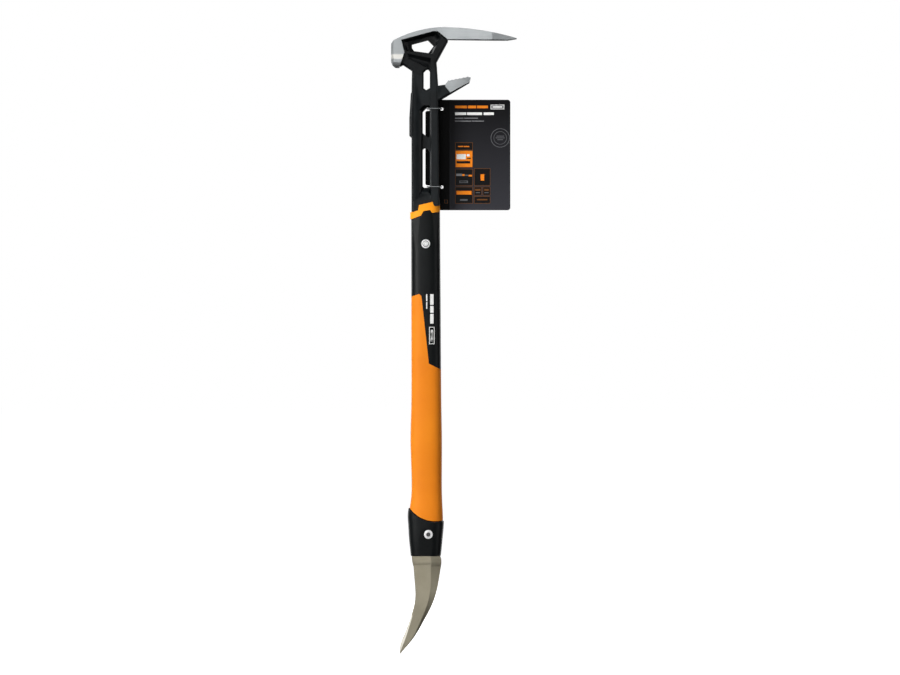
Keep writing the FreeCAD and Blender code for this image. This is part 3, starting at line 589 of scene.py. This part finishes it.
def makeCardPrint():
    bm = bmesh.new()
    for ink, left, right, top, bottom in cardHeadings:
        printBlock(bm, ink, left, right, top, bottom, 1)
    for layer, block in enumerate(cardBadge, 1):
        printBlock(bm, *block, layer)
    for column, top, bottom, fill, blocks in cardPanels:
        left, right = cardColumns[column]
        printBlock(bm, inkBrown, left, right, top, bottom, 1)
        printBlock(bm, fill, left + panelEdge, right - panelEdge, top + panelEdge, bottom - panelEdge, 2)
        for ink, fromLeft, toRight, fromTop, toBottom in blocks:
            printBlock(bm, ink, left + fromLeft, left + toRight, top + fromTop, top + toBottom, 3)
    for layer, block in enumerate(stripFrame, 1):
        printBlock(bm, *block, layer)
    finishPiece(bm, "cardPrint", "card", cardInks)


def makeCardRing():
    bm = bmesh.new()
    printRing(bm, card["ringReach"], card["ringWidth"])
    printRing(bm, card["innerReach"], card["innerWidth"])
    bmesh.ops.remove_doubles(bm, verts=bm.verts[:], dist=tinyGap)
    bmesh.ops.recalc_face_normals(bm, faces=bm.faces[:])
    bmesh.ops.solidify(bm, geom=bm.faces[:], thickness=card["ink"])
    x, z = card["ringMiddle"]
    for i, width in enumerate(card["ringBars"]):
        # the first ink's slot holds the ring's one finish
        top = z - card["barsTop"] + card["barStep"] * i
        printBlock(bm, cardInks[0], x - width / 2, x + width / 2, top, top + card["barHeight"], 1)
    finishPiece(bm, "cardRing", "card", [inkFaint])


makeCardPrint()
makeCardRing()
print("card printed")


# plain white bars down the sleeve, where a maker would have a mark
sleeveMark = {
    "lift": 0.05 * mm,  # in front of the plastic
    "thickness": 0.02 * mm,
    "cell": 0.6 * mm,  # the bars are cut this fine, so that they follow the curve
    "bars": [(5.0, 9.2, 152.0, 165.0), (5.0, 9.2, 142.4, 150.6), (5.0, 9.2, 129.2, 141.0),
             (0.1, 1.5, 156.4, 165.0), (0.1, 1.5, 147.2, 155.4)],
    "frame": (3.7, 10.3, 104.2, 125.2),
    "frameWidth": 0.8,
    "frameBar": (5.6, 8.4, 107.6, 121.8),
}


def surfaceTree(nodeName):
    bm = mergedCopy(nodeName)
    tree = BVHTree.FromBMesh(bm)
    bm.free()
    return tree


def layBar(bm, surface, left, right, low, high):
    # a fine grid that is dropped onto the surface from the front
    width, height = (right - left) * mm, (high - low) * mm
    across = max(2, round(width / sleeveMark["cell"]))
    upwards = max(2, round(height / (2 * sleeveMark["cell"])))
    made = bmesh.ops.create_grid(bm, x_segments=across, y_segments=upwards, size=0.5)["verts"]
    bmesh.ops.scale(bm, verts=made, vec=(width, height, 1))
    for vert in made:
        x, z = vert.co.x + (left + right) / 2 * mm, vert.co.y + (low + high) / 2 * mm
        hit = surface.ray_cast(Vector((x, -1, z)), Vector((0, 1, 0)))[0]
        vert.co = (x, hit.y - sleeveMark["lift"], z)


def makeSleeveMark():
    surface = surfaceTree("handle_shell")
    bm = bmesh.new()
    for bar in sleeveMark["bars"]:
        layBar(bm, surface, *bar)
    left, right, low, high = sleeveMark["frame"]
    edge = sleeveMark["frameWidth"]
    layBar(bm, surface, left, left + edge, low, high)
    layBar(bm, surface, right - edge, right, low, high)
    layBar(bm, surface, left + edge, right - edge, low, low + edge)
    layBar(bm, surface, left + edge, right - edge, high - edge, high)
    layBar(bm, surface, *sleeveMark["frameBar"])
    for face in bm.faces:
        if face.normal.y > 0:
            face.normal_flip()
    bmesh.ops.solidify(bm, geom=bm.faces[:], thickness=sleeveMark["thickness"])
    finishPiece(bm, "sleeveMark", "bar", [inkWhite])


makeSleeveMark()
print("sleeve marked")


# a white floor and room, big soft lights and a long lens
studio = {
    "floorDrop": 2 * mm,  # below the lowest point of the bar
    "floorReach": 30.0,
    "roomLight": 0.07,
    "middle": (0.03, 0.0, 0.11),
}


def makeFloor():
    bm = bmesh.new()
    disc = bmesh.ops.create_circle(bm, cap_ends=True, segments=64, radius=studio["floorReach"])["verts"]
    bmesh.ops.translate(bm, verts=disc, vec=(0, 0, cadBox[0][2] - studio["floorDrop"]))
    mesh = bpy.data.meshes.new("floor")
    bm.to_mesh(mesh)
    bm.free()
    floor = bpy.data.objects.new("floor", mesh)
    scene.collection.objects.link(floor)
    material, tree, shader = newMaterial("floorPaper")
    shader.inputs["Base Color"].default_value = (0.9, 0.9, 0.9, 1)
    shader.inputs["Roughness"].default_value = 0.9
    shader.inputs["Specular IOR Level"].default_value = 0.0
    shader.inputs["Emission Color"].default_value = (1, 1, 1, 1)
    shader.inputs["Emission Strength"].default_value = 0.94
    mesh.materials.append(material)
    # the floor only shows: it lights nothing and no steel mirrors it
    floor.visible_glossy = False
    floor.visible_diffuse = False


def softLight(name, place, aim, size, power):
    data = bpy.data.lights.new(name, "AREA")
    data.shape = "RECTANGLE"
    data.size, data.size_y = size
    data.energy = power
    lamp = bpy.data.objects.new(name, data)
    lamp.location = place
    lamp.rotation_euler = (Vector(aim) - Vector(place)).to_track_quat("-Z", "Y").to_euler()
    scene.collection.objects.link(lamp)


makeFloor()
softLight("keyLeft", (-2.6, -2.4, 1.3), studio["middle"], (1.4, 3.0), 180)
softLight("fillRight", (2.8, -1.6, 0.5), studio["middle"], (0.8, 3.0), 24)
softLight("frontWide", (-1.5, -9.8, 2.3), studio["middle"], (6.0, 6.0), 105)
softLight("lowStrip", (-0.4, -3.0, -0.15), (-0.03, 0.0, 0.45), (1.2, 0.1), 9)
softLight("rimLeft", (-1.2, 1.8, 0.15), studio["middle"], (1.0, 2.4), 20)
softLight("rimRight", (1.2, 1.8, 0.15), studio["middle"], (1.0, 2.4), 20)
softLight("topSoft", (0.1, -0.3, 2.6), studio["middle"], (2.4, 1.4), 22)

world = bpy.data.worlds.new("studioRoom")
world.use_nodes = True
room = world.node_tree.nodes["Background"]
room.inputs["Color"].default_value = (1, 1, 1, 1)
# white to look at, and dim in what it lights
rays = addNode(world.node_tree, "ShaderNodeLightPath")
brightness = remap(world.node_tree, rays.outputs["Is Camera Ray"], studio["roomLight"], 1.0, 0.0, 1.0)
world.node_tree.links.new(brightness, room.inputs["Strength"])
scene.world = world
scene.view_settings.view_transform = "Standard"
scene.view_settings.look = "None"

camera = {
    "distance": 9.0,
    "aim": (0.0291, 0.0, 0.1123),
    "frameWidth": 1.0950,  # how much the view takes in, at the object
    "sensorWidth": 36,
}


def makeCamera():
    data = bpy.data.cameras.new("camera")
    data.sensor_width = camera["sensorWidth"]
    data.lens = camera["sensorWidth"] * camera["distance"] / camera["frameWidth"]
    data.clip_end = 50
    obj = bpy.data.objects.new("camera", data)
    aim = Vector(camera["aim"])
    obj.location = aim + Vector((0, -camera["distance"], 0))
    obj.rotation_euler = (math.pi / 2, 0, 0)
    scene.collection.objects.link(obj)
    scene.camera = obj


makeCamera()
print("studio and camera set")
